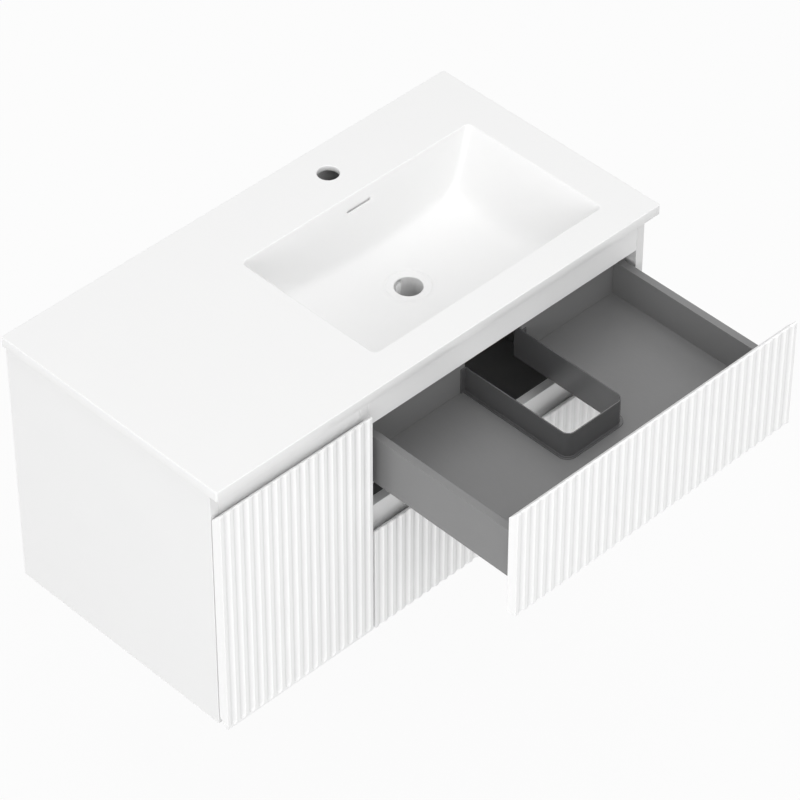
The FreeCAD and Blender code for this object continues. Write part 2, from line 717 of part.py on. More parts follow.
def make_carcass():
    """Panels, rails, shelf and back of the cabinet, drilled for their dowels, pins and screws."""
    floor = carcass_bottom + panel_thickness
    front_rail = (front_edge_y, front_edge_y + panel_thickness)
    back_rail = (rail_back_y - panel_thickness, rail_back_y)
    top_level = (carcass_top - rail_height, carcass_top)
    middle_level = (upper_front_bottom - rail_height, upper_front_bottom)
    high_back = (carcass_top - back_rail_height, carcass_top)
    low_back = (floor, floor + back_rail_height)
    boards = {
        "left_side_panel": block(-half_cabinet, -side_inner, front_edge_y, 0, carcass_bottom, carcass_top),
        "right_side_panel": block(side_inner, half_cabinet, front_edge_y, 0, carcass_bottom, carcass_top),
        "bottom_panel": block(-side_inner, side_inner, front_edge_y, rail_back_y, carcass_bottom, floor),
        "divider": block(divider_left, divider_right, front_edge_y, rail_back_y, floor, carcass_top),
        "left_front_rail": block(-side_inner, divider_left, *front_rail, *top_level),
        "right_front_rail": block(divider_right, side_inner, *front_rail, *top_level),
        "middle_front_rail": block(divider_right, side_inner, *front_rail, *middle_level),
        "left_back_rail": block(-side_inner, divider_left, *back_rail, *high_back),
        "right_back_rail": block(divider_right, side_inner, *back_rail, *high_back),
        "lower_back_rail": block(divider_right, side_inner, *back_rail, *low_back),
    }
    holes = [dowel(*place, dowel_radius + hole_clearance, hole_clearance) for place in dowel_places()]
    holes += [shelf_pin(*place, hole_clearance) for place in shelf_pin_places()]
    depth = screw_length + hole_clearance
    holes += [screw_hole(start, direction, depth) for start, direction in carcass_screws()]
    for name, board in boards.items():
        parts[name] = board.cut(holes).removeSplitter()
    make_back_panels(floor, low_back[1], high_back[0])
    panel_face = rail_back_y - back_panel_thickness
    shelf_bottom = shelf_level()
    parts["shelf"] = block(shelf_side_gap - side_inner, divider_left - shelf_side_gap,
                           front_edge_y + shelf_setback, panel_face - shelf_side_gap, shelf_bottom,
                           shelf_bottom + shelf_thickness)
    parts["shelf_pins"] = group([shelf_pin(*place, 0) for place in shelf_pin_places()])
    parts["carcass_dowels"] = group([dowel(*place, dowel_radius, 0) for place in dowel_places()])
    parts["carcass_screws"] = group([screw(start, direction) for start, direction in carcass_screws()])


def hanger_top():
    """The hangers sit under the back rails."""
    return carcass_top - back_rail_height


def hanger_bottom():
    """Lower end of the hangers."""
    return hanger_top() - hanger_height


def hanger_screws():
    """Where each hanger's two screw heads bear, inside the housing, and the way into the side panel."""
    places = []
    for side in (-1, 1):
        x = side * (side_inner - hook_steel)
        for share in hanger_screw_shares:
            z = hanger_bottom() + hanger_height * share
            places.append((Vector(x, -hanger_wall_gap - hanger_depth / 2, z), RIGHT * side))
    return places


def carcass_screws():
    """Every screw into the carcass's uprights: runners, hinge plates and hangers."""
    places = []
    for drop in (0, drawer_pitch):
        for side in ("left", "right"):
            places += runner_flange_screws(side, drop)
    for z in hinge_levels().values():
        places += [(start, LEFT) for start in hinge_plate_screws(z)]
    return places + hanger_screws()


def make_hanger(side):
    """A cabinet hanger: a housing on the side panel and a hook that drops behind the wall plate's lip."""
    y0, y1 = -hanger_wall_gap - hanger_depth, -hanger_wall_gap
    x_wall, x_far = side_inner, side_inner - hanger_width
    housing = block(x_far, x_wall, y0, y1, hanger_bottom(), hanger_top())
    hollow = block(x_far - cut_overrun, x_wall - hook_steel, y0 + hook_steel, y1 - hook_steel,
                   hanger_bottom() + hook_steel, hanger_top() - hook_steel)
    hook_x1 = x_wall - (hanger_width - hook_width) / 2
    hook_x0 = hook_x1 - hook_width
    bar_bottom = plate_lip_top() + hook_play
    bar = block(hook_x0, hook_x1, y1 - hook_steel, -hook_play, bar_bottom, bar_bottom + hook_steel)
    tip = block(hook_x0, hook_x1, -hook_play - hook_steel, -hook_play, bar_bottom - hook_drop, bar_bottom)
    hanger = housing.cut(hollow).fuse([bar, tip])
    depth = hook_steel + 2 * cut_overrun
    for start, direction in hanger_screws():
        if direction.x > 0:
            hanger = hanger.cut(screw_hole(start - direction * cut_overrun, direction, depth))
    hanger = hanger.removeSplitter()
    return hanger if side > 0 else hanger.mirror(Vector(0, 0, 0), RIGHT)


def plate_lip_top():
    """Top of the wall plate's lip, above the flat part that the screws go through."""
    return plate_flat_height / 2 + plate_lip_height


def make_wall_plate(side):
    """A wall plate: screwed flat to the wall, with its upper edge jogged forward to take the hook."""
    x0, x1 = plate_centre_x - plate_width / 2, plate_centre_x + plate_width / 2
    half = plate_flat_height / 2
    lip_face = -plate_step - plate_steel
    flat = block(x0, x1, -plate_steel, 0, -half, half)
    step = block(x0, x1, lip_face, 0, half - plate_steel, half)
    lip = block(x0, x1, lip_face, -plate_step, half - plate_steel, plate_lip_top())
    holes = []
    for rise in (-1, 1):
        start = Vector(plate_centre_x, -plate_steel - cut_overrun, rise * plate_hole_spacing / 2)
        holes.append(rod(plate_hole_radius, start, BACK, plate_steel + 2 * cut_overrun))
    plate = flat.fuse([step, lip]).cut(holes).removeSplitter()
    return plate if side > 0 else plate.mirror(Vector(0, 0, 0), RIGHT)


def make_door():
    """The fluted door with its two hinges, their pins, screws and the soft buffers."""
    levels = hinge_levels()
    door = fluted_front(door_left, door_right, carcass_bottom, door_top, True)
    cup_screws = [start for z in levels.values() for start in hinge_cup_screws(z)]
    cuts = [hinge_cup_hole(z) for z in levels.values()]
    cuts += [screw_hole(start, -BACK, screw_length + hole_clearance) for start in cup_screws]
    parts["door"] = door.cut(cuts)
    for name, z in levels.items():
        parts[name + "_hinge_cup"] = make_hinge_cup(z)
        parts[name + "_hinge_arm"] = make_hinge_arm(z)
    parts["hinge_pins"] = group([make_hinge_pin(z) for z in levels.values()])
    parts["hinge_cup_screws"] = group([screw(start, -BACK) for start in cup_screws])
    inset = bevel_drop + bumper_inset
    edge_x = divider_left + bumper_radius
    parts["door_bumpers"] = bumpers([Vector(edge_x, front_back_y, z)
                                     for z in (door_top - inset, carcass_bottom + inset)])


make_carcass()
make_door()
make_drawer("upper", 0, upper_open_at_rest, True)
make_drawer("lower", drawer_pitch, 0, False)
parts["worktop"] = make_worktop()
for side_name, side_sign in (("left", -1), ("right", 1)):
    parts[side_name + "_hanger"] = make_hanger(side_sign)
    parts[side_name + "_wall_plate"] = make_wall_plate(side_sign)

os.makedirs("parts", exist_ok=True)
for node, shape in parts.items():
    shape.exportStep("parts/" + node + ".step")
    print(node, len(shape.Solids), round(shape.Volume), shape.isValid())
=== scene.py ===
"""Wall-hung vanity unit: cast worktop with its bowl, white carcass, fluted door and two fluted drawers.

Metres, +Z up, +X to the right, -Y towards the user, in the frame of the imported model.
"""

import bpy
import numpy as np
from mathutils import Matrix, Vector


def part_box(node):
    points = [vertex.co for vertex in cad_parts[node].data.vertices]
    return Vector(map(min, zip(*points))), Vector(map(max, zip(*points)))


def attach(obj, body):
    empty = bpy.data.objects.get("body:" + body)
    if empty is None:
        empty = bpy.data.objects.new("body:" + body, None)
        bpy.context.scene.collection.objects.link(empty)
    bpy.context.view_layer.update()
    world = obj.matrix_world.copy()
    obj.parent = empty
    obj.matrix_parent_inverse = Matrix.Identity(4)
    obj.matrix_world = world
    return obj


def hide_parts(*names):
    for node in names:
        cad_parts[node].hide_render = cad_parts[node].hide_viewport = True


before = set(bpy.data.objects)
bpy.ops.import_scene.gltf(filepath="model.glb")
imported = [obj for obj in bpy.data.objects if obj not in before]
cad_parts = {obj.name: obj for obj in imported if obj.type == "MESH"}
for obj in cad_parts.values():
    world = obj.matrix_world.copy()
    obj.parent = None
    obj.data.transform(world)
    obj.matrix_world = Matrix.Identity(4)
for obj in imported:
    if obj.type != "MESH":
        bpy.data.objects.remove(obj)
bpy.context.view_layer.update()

# The view: a long lens about six metres away, looking down on the unit's left front corner.
# The angles, the place and the focal length are those that put the worktop's and the fronts' edges right.
view_turn, view_rise, view_roll = np.radians((-44.448, 42.16, 0.078))
view_place = (-3.1062, -3.5294, 3.9533)
across = np.array((np.cos(view_turn), np.sin(view_turn), 0.0))
towards = np.array((np.sin(view_turn) * np.cos(view_rise), -np.cos(view_turn) * np.cos(view_rise),
                    np.sin(view_rise)))
upward = np.cross(towards, across)
level = np.cos(view_roll) * across + np.sin(view_roll) * upward
upright = np.cos(view_roll) * upward - np.sin(view_roll) * across
camera = bpy.data.objects.new("view_camera", bpy.data.cameras.new("view_camera"))
camera.data.sensor_width = 36.0
camera.data.lens = 182.015
camera.data.clip_end = 60.0
turn = np.eye(4)
turn[:3, :4] = np.column_stack((level, upright, towards, view_place))
camera.matrix_world = Matrix(turn.tolist())
bpy.context.scene.collection.objects.link(camera)
bpy.context.scene.camera = camera
bpy.context.scene.view_settings.view_transform = "Standard"


# Carcass: two side panels, bottom, divider, rails and shelf of 16 mm board faced with white melamine.
# Every visible edge is banded with a thin plastic strip whose corners are rounded over by the edge bander.
class Tone:
    """A shader socket: arithmetic on it adds Math nodes, node() adds any other node to its tree."""

    def __init__(self, tree, socket):
        self.tree, self.socket = tree, socket

    def node(self, kind, settings, sockets, output=0):
        """Adds a node: its settings first, then the values or links of its sockets; gives one output."""
        made = self.tree.nodes.new(kind)
        for name, value in settings.items():
            setattr(made, name, value)
        for name, value in sockets.items():
            if isinstance(value, Tone):
                self.tree.links.new(value.socket, made.inputs[name])
            else:
                made.inputs[name].default_value = value
        return Tone(self.tree, made.outputs[output])

    def maths(self, operation, first, second):
        return self.node("ShaderNodeMath", {"operation": operation}, {0: first, 1: second})

    def __add__(self, other):
        return self.maths("ADD", self, other)

    def __mul__(self, other):
        return self.maths("MULTIPLY", self, other)

    __radd__ = __add__
    __rmul__ = __mul__

    def stretched(self, x, y, z):
        """The place with each axis scaled, so that a pattern runs along one of them."""
        return self.node("ShaderNodeMapping", {}, {"Vector": self, "Scale": (x, y, z)})

    def noise(self, cells_per_metre, detail=2.0):
        """Soft noise from 0 to 1 with the number of cells in a metre."""
        return self.node("ShaderNodeTexNoise", {}, {"Vector": self, "Scale": cells_per_metre, "Detail": detail})

    def blend(self, low, high):
        """A colour between two, by this value."""
        return self.node("ShaderNodeMix", {"data_type": "RGBA"}, {0: self, 6: (*low, 1.0), 7: (*high, 1.0)}, 2)

    def relief(self, strength, height):
        """A normal from this value taken as a height, whose full range is the height given in metres."""
        return self.node("ShaderNodeBump", {}, {"Strength": strength, "Distance": height, "Height": self})

    def feed(self, shader, name):
        self.tree.links.new(self.socket, shader.inputs[name])


def new_finish(name, **constants):
    """A material with its shader's constants set; gives the material, the shader and the place on the piece."""
    material = bpy.data.materials.new(name)
    material.use_nodes = True
    tree = material.node_tree
    shader = tree.nodes["Principled BSDF"]
    for socket, value in constants.items():
        shader.inputs[socket.replace("_", " ")].default_value = value
    return material, shader, Tone(tree, tree.nodes.new("ShaderNodeTexCoord").outputs["Object"])


def white_finish(name, light, dark, gloss, pearl_cells, pearl_height):
    """White surface: faint clouds of tone, a roughness that wanders with them and a fine pearl in the skin."""
    material, shader, place = new_finish(name)
    clouds = place.noise(9.0, 3.0)
    pearl = place.noise(pearl_cells)
    (clouds * 0.7 + pearl * 0.3).blend(dark, light).feed(shader, "Base Color")
    (gloss + clouds * 0.08 + pearl * 0.05).feed(shader, "Roughness")
    pearl.relief(0.35, pearl_height).feed(shader, "Normal")
    return material


def grid_faces(index):
    """Quads between neighbouring rows and columns of a grid of point numbers."""
    return np.stack((index[:-1, :-1], index[:-1, 1:], index[1:, 1:], index[1:, :-1]), -1)


def rounded_board(low, high, radius):
    """A board with round edges.

    Grid points lie on the six sides of its box; each goes to its nearest point on the box shrunk by the
    radius, and from there out by the radius, so flats stay flat and edges and corners become round.
    """
    low, high = np.array(low), np.array(high)
    bend = radius * np.tan(np.linspace(0.0, np.pi / 4, 4))
    lines = [np.concatenate((low[a] + radius - bend[::-1], high[a] - radius + bend)) for a in range(3)]
    sheets, quads = [], []
    for axis in range(3):
        u, v = (axis + 1) % 3, (axis + 2) % 3
        for side, order in ((low[axis], 1), (high[axis], -1)):
            sheet = np.empty((len(lines[u]), len(lines[v]), 3))
            sheet[..., u] = lines[u][:, None]
            sheet[..., v] = lines[v][None, :]
            sheet[..., axis] = side
            index = np.arange(sheet[..., 0].size).reshape(sheet.shape[:2]) + sum(map(len, sheets))
            quads.append(grid_faces(index).reshape(-1, 4)[:, ::order])
            sheets.append(sheet.reshape(-1, 3))
    cube = np.concatenate(sheets)
    core = np.clip(cube, low + radius, high - radius)
    normals = (cube - core) / np.linalg.norm(cube - core, axis=1, keepdims=True)
    _, first, merged = np.unique(np.round(cube, 7), axis=0, return_index=True, return_inverse=True)
    faces = merged.reshape(-1)[np.concatenate(quads)]
    return (core + radius * normals)[first], faces.tolist(), normals[first]


def add_piece(name, shape, material, body, slot, *nodes):
    """A smooth mesh at the origin from points, faces and normals, riding on a body in place of CAD nodes."""
    points, faces, normals = shape
    mesh = bpy.data.meshes.new(name)
    mesh.from_pydata(points.tolist(), [], faces)
    mesh.shade_smooth()
    mesh.materials.append(material)
    mesh.normals_split_custom_set_from_vertices(normals.tolist())
    piece = bpy.data.objects.new(name, mesh)
    bpy.context.scene.collection.objects.link(piece)
    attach(piece, body)
    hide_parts(*nodes)


def dress(material, *nodes):
    """Gives CAD nodes a material in all their slots."""
    for node in nodes:
        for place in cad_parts[node].material_slots:
            place.material = material


board_edge = 0.001
white_board = white_finish("white_melamine", (0.89, 0.89, 0.888), (0.865, 0.866, 0.866), 0.4, 700.0, 0.00003)
# The side panels take a darker copy of the same white melamine: painted shade that holds their left faces down
# under the strong left lamps.
shaded_side_board = white_finish("white_melamine_painted_shade", (0.845, 0.845, 0.843), (0.82, 0.82, 0.82), 0.4, 700.0, 0.00003)
for node in ("left_side_panel", "right_side_panel", "bottom_panel", "divider", "left_front_rail",
             "right_front_rail", "middle_front_rail", "left_back_rail", "right_back_rail", "lower_back_rail",
             "shelf"):
    add_piece(node + "_board", rounded_board(*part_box(node), board_edge),
              shaded_side_board if "side_panel" in node else white_board, "cabinet", "white_board", node)
dress(white_board, "left_back_panel", "right_back_panel")


# Fasteners of the carcass: beech dowels glued into the joints, and zinc-plated screws, shelf pins, hangers
# and wall plates. The plating shows fine crystals and faint streaks.
def plated_finish(name, light, dark, gloss, crystal_cells):
    """Plated steel: crystal cells of slightly different tone and roughness under long faint streaks."""
    material, shader, place = new_finish(name, Metallic=1.0)
    crystals = place.node("ShaderNodeTexVoronoi", {}, {"Vector": place, "Scale": crystal_cells}, "Color")
    tone = crystals.node("ShaderNodeSeparateColor", {}, {"Color": crystals})
    streaks = place.stretched(1.0, 0.06, 1.0).noise(900.0)
    (tone * 0.6 + streaks * 0.4).blend(dark, light).feed(shader, "Base Color")
    (gloss + tone * 0.1 + streaks * 0.12).feed(shader, "Roughness")
    streaks.relief(0.2, 0.00002).feed(shader, "Normal")
    return material


zinc = plated_finish("zinc_plate", (0.74, 0.75, 0.76), (0.55, 0.56, 0.58), 0.28, 420.0)
dress(zinc, "carcass_screws", "shelf_pins", "left_hanger", "right_hanger", "left_wall_plate",
      "right_wall_plate")

beech, beech_shader, beech_place = new_finish("raw_beech", Roughness=0.6)
beech_grain = beech_place.stretched(0.08, 0.4, 1.0).noise(1600.0, 4.0)
beech_grain.blend((0.5, 0.33, 0.19), (0.74, 0.56, 0.38)).feed(beech_shader, "Base Color")
beech_grain.relief(0.4, 0.0001).feed(beech_shader, "Normal")
dress(beech, "carcass_dowels", "upper_drawer_front_dowels", "lower_drawer_front_dowels")


# Runners: rolled and folded zinc-plated steel, a rail screwed to the upright, a middle channel over it and a
# channel under the drawer's floor. Rolling leaves fine lines along their length.
runner_steel = plated_finish("rolled_steel", (0.7, 0.71, 0.72), (0.52, 0.53, 0.55), 0.3, 160.0)
dress(runner_steel, *(f"{drawer}_runner_{side}_{part}" for drawer in ("upper", "lower")
                      for side in ("left", "right") for part in ("rail", "middle")),
      *(f"{drawer}_drawer_{side}_channel" for drawer in ("upper", "lower") for side in ("left", "right")))


# Drawer boxes: 13 mm sides and backs and 12 mm floors in anthracite foil, glued and dowelled to the fronts.
# The foil has a satin skin with a fine brushed grain along the board.
def foil_finish(name, light, dark, gloss):
    """Satin foil: long fine streaks in tone and height over slow clouds."""
    material, shader, place = new_finish(name)
    clouds = place.noise(14.0, 3.0)
    grain = place.stretched(1.0, 0.05, 1.0).noise(1500.0, 3.0)
    (clouds * 0.4 + grain * 0.6).blend(dark, light).feed(shader, "Base Color")
    (gloss + grain * 0.12).feed(shader, "Roughness")
    grain.relief(0.3, 0.00004).feed(shader, "Normal")
    return material


box_edge = 0.0008
grey_foil = foil_finish("anthracite_foil", (0.222, 0.222, 0.223), (0.187, 0.187, 0.188), 0.33)
for drawer, boards in (("upper", ("left_side", "right_side", "back_left", "back_right")),
                       ("lower", ("left_side", "right_side", "back", "floor"))):
    for board in boards:
        node = f"{drawer}_drawer_{board}"
        add_piece(node + "_board", rounded_board(*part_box(node), box_edge), grey_foil, drawer + "_drawer",
                  "grey_board", node)
dress(grey_foil, "upper_drawer_floor")


# Trap surround: a thin U-shaped wall moulded in dark plastic. It stands in the cut in the drawer's floor and
# back, with a flange that rests on the floor and an ear at each end against the back.
def rounded_profile(corners, radius, steps=4):
    """A closed flat outline with round corners.

    At each corner the arc's centre lies off the corner along both edges' normals, inward at an outer
    corner and outward at an inner one, and the normal swings from the first edge's to the second's.
    """
    corners = np.array(corners)
    edge = np.roll(corners, -1, 0) - corners
    edge /= np.linalg.norm(edge, axis=1, keepdims=True)
    after = np.stack((edge[:, 1], -edge[:, 0]), 1)
    before = np.roll(after, 1, 0)
    outer = np.sign(before[:, 0] * after[:, 1] - before[:, 1] * after[:, 0])[:, None, None]
    reach = (before + after) / (1.0 + (before * after).sum(1, keepdims=True))
    share = np.linspace(0.0, 1.0, steps + 1)[None, :, None]
    normals = before[:, None] * (1.0 - share) + after[:, None] * share
    normals /= np.linalg.norm(normals, axis=2, keepdims=True)
    points = corners[:, None] + outer * radius * (normals - reach[:, None])
    return points.reshape(-1, 2), normals.reshape(-1, 2)


def carried_profile(profile, normals, path, sideways):
    """A profile carried along a level path and closed at its ends.

    The profile's first coordinate goes along the path's sideways direction at each point, the second goes up.
    """
    points = path[:, None, :] + sideways[:, None, :] * profile[None, :, :1]
    points[..., 2] += profile[None, :, 1]
    outward = sideways[:, None, :] * normals[None, :, :1]
    outward[..., 2] += normals[None, :, 1]
    index = np.arange(points[..., 0].size).reshape(points.shape[:2])
    faces = grid_faces(np.concatenate((index, index[:, :1]), 1)).reshape(-1, 4).tolist()
    faces += [index[0, ::-1].tolist(), index[-1].tolist()]
    return points.reshape(-1, 3), faces, outward.reshape(-1, 3)


def joined(*shapes):
    """Several shapes as one set of points, faces and normals."""
    starts = np.cumsum([0] + [len(points) for points, _, _ in shapes])
    faces = [[corner + int(start) for corner in face]
             for start, (_, quads, _) in zip(starts, shapes) for face in quads]
    return np.concatenate([s[0] for s in shapes]), faces, np.concatenate([s[2] for s in shapes])


def trap_path(low, high, radius, steps):
    """The U round the trap opening, from its rear right end round the front to its rear left end."""
    bend = np.linspace(0.0, np.pi / 2, steps)
    left = np.stack((low[0] + radius - radius * np.cos(bend), low[1] + radius - radius * np.sin(bend)), 1)
    right = np.stack((high[0] - radius + radius * np.sin(bend), low[1] + radius - radius * np.cos(bend)), 1)
    flat = np.concatenate((((low[0], high[1]),), left, right, ((high[0], high[1]),)))
    turn = np.concatenate((((-1.0, 0.0),), np.stack((-np.cos(bend), -np.sin(bend)), 1),
                           np.stack((np.sin(bend), -np.cos(bend)), 1), ((1.0, 0.0),)))
    zero = np.zeros((len(flat), 1))
    return np.hstack((flat, zero))[::-1], np.hstack((turn, zero))[::-1]


trap_low, trap_high = (np.array(corner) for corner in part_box("upper_drawer_trap_surround"))
trap_ear, trap_flange, trap_wall, trap_flange_lift, trap_radius = 0.009, 0.005, 0.002, 0.002, 0.014
trap_edge, ear_overlap, trap_bend_points = 0.0006, 0.001, 12
trap_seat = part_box("upper_drawer_floor")[1][2]
trap_section = rounded_profile(((-trap_wall, trap_low[2]), (0.0, trap_low[2]), (0.0, trap_seat),
                                (trap_flange, trap_seat), (trap_flange, trap_seat + trap_flange_lift),
                                (0.0, trap_seat + trap_flange_lift), (0.0, trap_high[2]),
                                (-trap_wall, trap_high[2])), trap_edge)
trap_inner_low = np.array((trap_low[0] + trap_ear, trap_low[1] + trap_flange, 0.0))
trap_inner_high = np.array((trap_high[0] - trap_ear, trap_high[1], 0.0))
trap_line, trap_sideways = trap_path(trap_inner_low, trap_inner_high, trap_radius, trap_bend_points)
drawer_back_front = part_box("upper_drawer_back_left")[0][1]
ears = [rounded_board((x0, drawer_back_front - trap_wall, trap_seat),
                      (x1, drawer_back_front, trap_high[2]), trap_edge)
        for x0, x1 in ((trap_low[0], trap_inner_low[0] + ear_overlap),
                       (trap_inner_high[0] - ear_overlap, trap_high[0]))]
dark_plastic, plastic_shader, plastic_place = new_finish("dark_moulded_plastic", Specular_IOR_Level=1.0)
plastic_grain = plastic_place.noise(2600.0, 2.0)
plastic_cloud = plastic_place.noise(30.0, 2.0)
(plastic_grain * 0.5 + plastic_cloud * 0.5).blend((0.078, 0.078, 0.08), (0.098, 0.098, 0.1)).feed(
    plastic_shader, "Base Color")
(0.16 + plastic_grain * 0.12).feed(plastic_shader, "Roughness")
plastic_grain.relief(0.2, 0.00002).feed(plastic_shader, "Normal")
add_piece("trap_surround_moulding", joined(carried_profile(*trap_section, trap_line, trap_sideways), *ears),
          dark_plastic, "upper_drawer", "dark_plastic", "upper_drawer_trap_surround")


# Fronts: 18 mm board routed with upright hollow flutes and sprayed with matt white lacquer. The top edge is
# bevelled behind a thin rounded lip to pull by, and the flutes run out through the lip. The door's foot is
# bevelled too, and its flutes stop short above it.
def window_ring(index, rows, columns):
    """Point numbers round a window of the grid, in the sense of its quads."""
    (r0, r1), (c0, c1) = rows, columns
    return np.concatenate((index[r0, c0:c1], index[r0:r1, c1], index[r1, c1:c0:-1], index[r1:r0:-1, c0]))


def ring_faces(rings):
    """Quads between rings of point numbers, each closed on itself."""
    rings = np.stack(rings)
    return grid_faces(np.concatenate((rings, rings[:, :1]), 1)).reshape(-1, 4).tolist()


def fluted_front(low, high, foot_stopped, cups):
    """A board whose outline in depth and height is carried across its width, with the flutes cut into its face.

    Across, a flute is a circle's arc; beyond its stopped foot the distance past the end joins the distance
    across, which makes a ball's cap. A soft maximum with zero rounds its edges. At the top the lip slides
    back and down the bevel by the depth of the cut. At an open foot the cut fades out along the bottom face.
    The end faces are rounded by drawing the outline in along its normals. For each hinge cup a window in
    the back is joined to a round blind hole, ring by ring.
    """
    rib, spacing, depth, land, lip, bevel = 0.0065, 0.0181, 0.0024, 0.004, 0.0033, 0.017
    edge, round_edge, soft, step = 0.0009, 0.00108, 0.00012, 0.00002
    lip_steps, window_points, end_points, touch, slack = 6, 9, 5, 1e-7, 1.001
    width = high[0] - low[0]
    count = round((width - rib) / spacing)
    pitch = (width - rib) / count
    half = (pitch - rib) / 2
    ball = (half ** 2 + depth ** 2) / (2 * depth)
    flute_foot = low[2] + land + half if foot_stopped else low[2] - half
    fall = bevel / (high[1] - low[1] - lip)
    tip = lip * fall
    round_tip = tip / (fall + np.sqrt(1.0 + fall ** 2) - 1.0)
    corners = [(low[1], high[2] + tip), (low[1], low[2] - tip * foot_stopped),
               (high[1], low[2] + bevel * foot_stopped), (high[1], high[2] - bevel)]
    radii = np.array((round_tip, round_tip if foot_stopped else round_edge, round_edge, round_edge))
    outline, normals = rounded_profile(corners, radii[:, None, None], lip_steps)

    def cut(x, z):
        off = np.mod(x - low[0] - rib - half + pitch / 2, pitch) - pitch / 2
        past = np.maximum(flute_foot - z, 0.0)
        bite = np.sqrt(np.maximum(ball ** 2 - off ** 2 - past ** 2, 0.0)) - (ball - depth)
        return soft * np.logaddexp(0.0, bite / soft)

    end_shares = np.concatenate((np.linspace(-0.1, 0.6, 4), np.linspace(0.7, 1.1, 9)))
    face_z = np.concatenate(((high[2] - 2 * depth,), flute_foot - half * end_shares if foot_stopped else ()))
    face = np.stack((np.full(len(face_z), low[1]), face_z), 1)
    first_corner = len(outline) // len(corners)
    outline = np.concatenate((outline[:first_corner], face, outline[first_corner:]))
    normals = np.concatenate((normals[:first_corner], np.tile((-1.0, 0.0), (len(face), 1)),
                              normals[first_corner:]))
    for _, cup_z in cups:
        back_z = cup_z + cup_window * np.linspace(-1.0, 1.0, window_points)
        place = np.flatnonzero((outline[:, 0] > high[1] - touch) & (outline[:, 1] < cup_z))[-1] + 1
        outline = np.insert(outline, place, np.stack((np.full(window_points, high[1]), back_z), 1), 0)
        normals = np.insert(normals, place, np.tile((1.0, 0.0), (window_points, 1)), 0)
    behind = outline[:, 0] - low[1] - 2 * round_tip
    weight = np.clip(1.0 - behind / (high[1] - low[1] - 2 * round_tip - 2 * round_edge), 0.0, 1.0)
    on_lip = np.arange(len(outline)) < first_corner

    shares = np.concatenate((np.linspace(-1.12, -0.84, 6), np.linspace(-0.7, 0.7, 7),
                             np.linspace(0.84, 1.12, 6)))
    flute_lines = (low[0] + rib + half + pitch * np.arange(count)[:, None] + half * shares[None]).reshape(-1)
    cup_lines = [cup_x + side * cup_window for cup_x, _ in cups[:1] for side in (-1.0, 1.0)]
    flute_lines = np.sort(np.concatenate((flute_lines, cup_lines)))
    flute_lines = flute_lines[(flute_lines > low[0] + round_edge) & (flute_lines < high[0] - round_edge)]
    swing = np.linspace(np.pi / 2, 0.0, end_points)
    across_x = np.concatenate((low[0] + edge * (1 - np.sin(swing)), flute_lines,
                               high[0] - edge * (1 - np.sin(swing[::-1]))))
    tilt = np.concatenate((swing, np.zeros(len(flute_lines)), swing[::-1]))[:, None]
    lean = np.concatenate((-np.ones(end_points), np.zeros(len(flute_lines)), np.ones(end_points)))[:, None]
    draw_in = edge * (1 - np.cos(tilt))
    x = np.broadcast_to(across_x[:, None], (len(across_x), len(outline)))
    z = outline[None, :, 1] - normals[None, :, 1] * draw_in
    turned = weight * np.clip(-normals[:, 0], 0.0, 1.0)
    slope_x = (cut(x + step, z) - cut(x - step, z)) / (2 * step) * turned
    slope_z = (cut(x, z + step) - cut(x, z - step)) / (2 * step) * turned
    sunk = cut(x, z) * weight
    y = outline[None, :, 0] - normals[None, :, 0] * draw_in + sunk
    z = z - sunk * fall * on_lip
    facing = np.stack((lean * np.sin(tilt) + slope_x, normals[None, :, 0] * np.cos(tilt) + 0 * x,
                       normals[None, :, 1] * np.cos(tilt) + slope_z), -1)
    facing /= np.linalg.norm(facing, axis=2, keepdims=True)
    points, facing = [np.stack((x, y, z), -1).reshape(-1, 3)], [facing.reshape(-1, 3)]
    index = np.arange(x.size).reshape(x.shape)
    quads = grid_faces(np.concatenate((index, index[:, :1]), 1))
    keep = np.ones(quads.shape[:2], bool)
    faces = [index[0, ::-1].tolist(), index[-1].tolist()]
    for cup_x, cup_z in cups:
        on_back = outline[:, 0] > high[1] - touch
        columns = np.flatnonzero(on_back & (np.abs(outline[:, 1] - cup_z) < cup_window * slack))[[0, -1]]
        rows = np.flatnonzero(np.abs(across_x - cup_x) < cup_window * slack)[[0, -1]]
        keep[rows[0]:rows[1], columns[0]:columns[1]] = False
        rings = [window_ring(index, rows, columns)]
        away = points[0][rings[0]] * (1.0, 0.0, 1.0) - (cup_x, 0.0, cup_z)
        away /= np.linalg.norm(away, axis=1, keepdims=True)
        for grow, sink, lean_in in cup_rings:
            rings.append(np.arange(len(away)) + sum(map(len, points)))
            points.append(away * (cup_radius + grow) + (cup_x, high[1] - sink, cup_z))
            facing.append(np.array((0.0, np.sqrt(1.0 - lean_in ** 2), 0.0)) - lean_in * away)
        faces += ring_faces(rings) + [rings[-1].tolist()]
    return np.concatenate(points), quads[keep].tolist() + faces, np.concatenate(facing)


cup_radius, cup_sink, cup_window = 0.0176, 0.0127, 0.0188
# Rings of a cup's hole: what each adds to the radius, its depth in the back, its normal's lean to the middle.
cup_rings = ((0.0006, 0.0, 0.0), (0.0002, 0.0002, 0.7), (0.0, 0.0007, 1.0), (0.0, cup_sink, 1.0),
             (-0.0001, cup_sink, 0.0))
cup_places = [(cup_low[0] + cup_radius, (cup_low[2] + cup_high[2]) / 2)
              for cup_low, cup_high in (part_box("lower_hinge_cup"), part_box("upper_hinge_cup"))]
lacquer = white_finish("matt_white_lacquer", (0.915, 0.915, 0.913), (0.895, 0.895, 0.895), 0.42, 420.0, 0.00002)
for node, body, stopped, cups in (("door", "door", True, cup_places),
                                  ("upper_drawer_front", "upper_drawer", False, []),
                                  ("lower_drawer_front", "lower_drawer", False, [])):
    add_piece(node + "_fluted", fluted_front(*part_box(node), stopped, cups), lacquer, body,
              "fluted_lacquer", node)


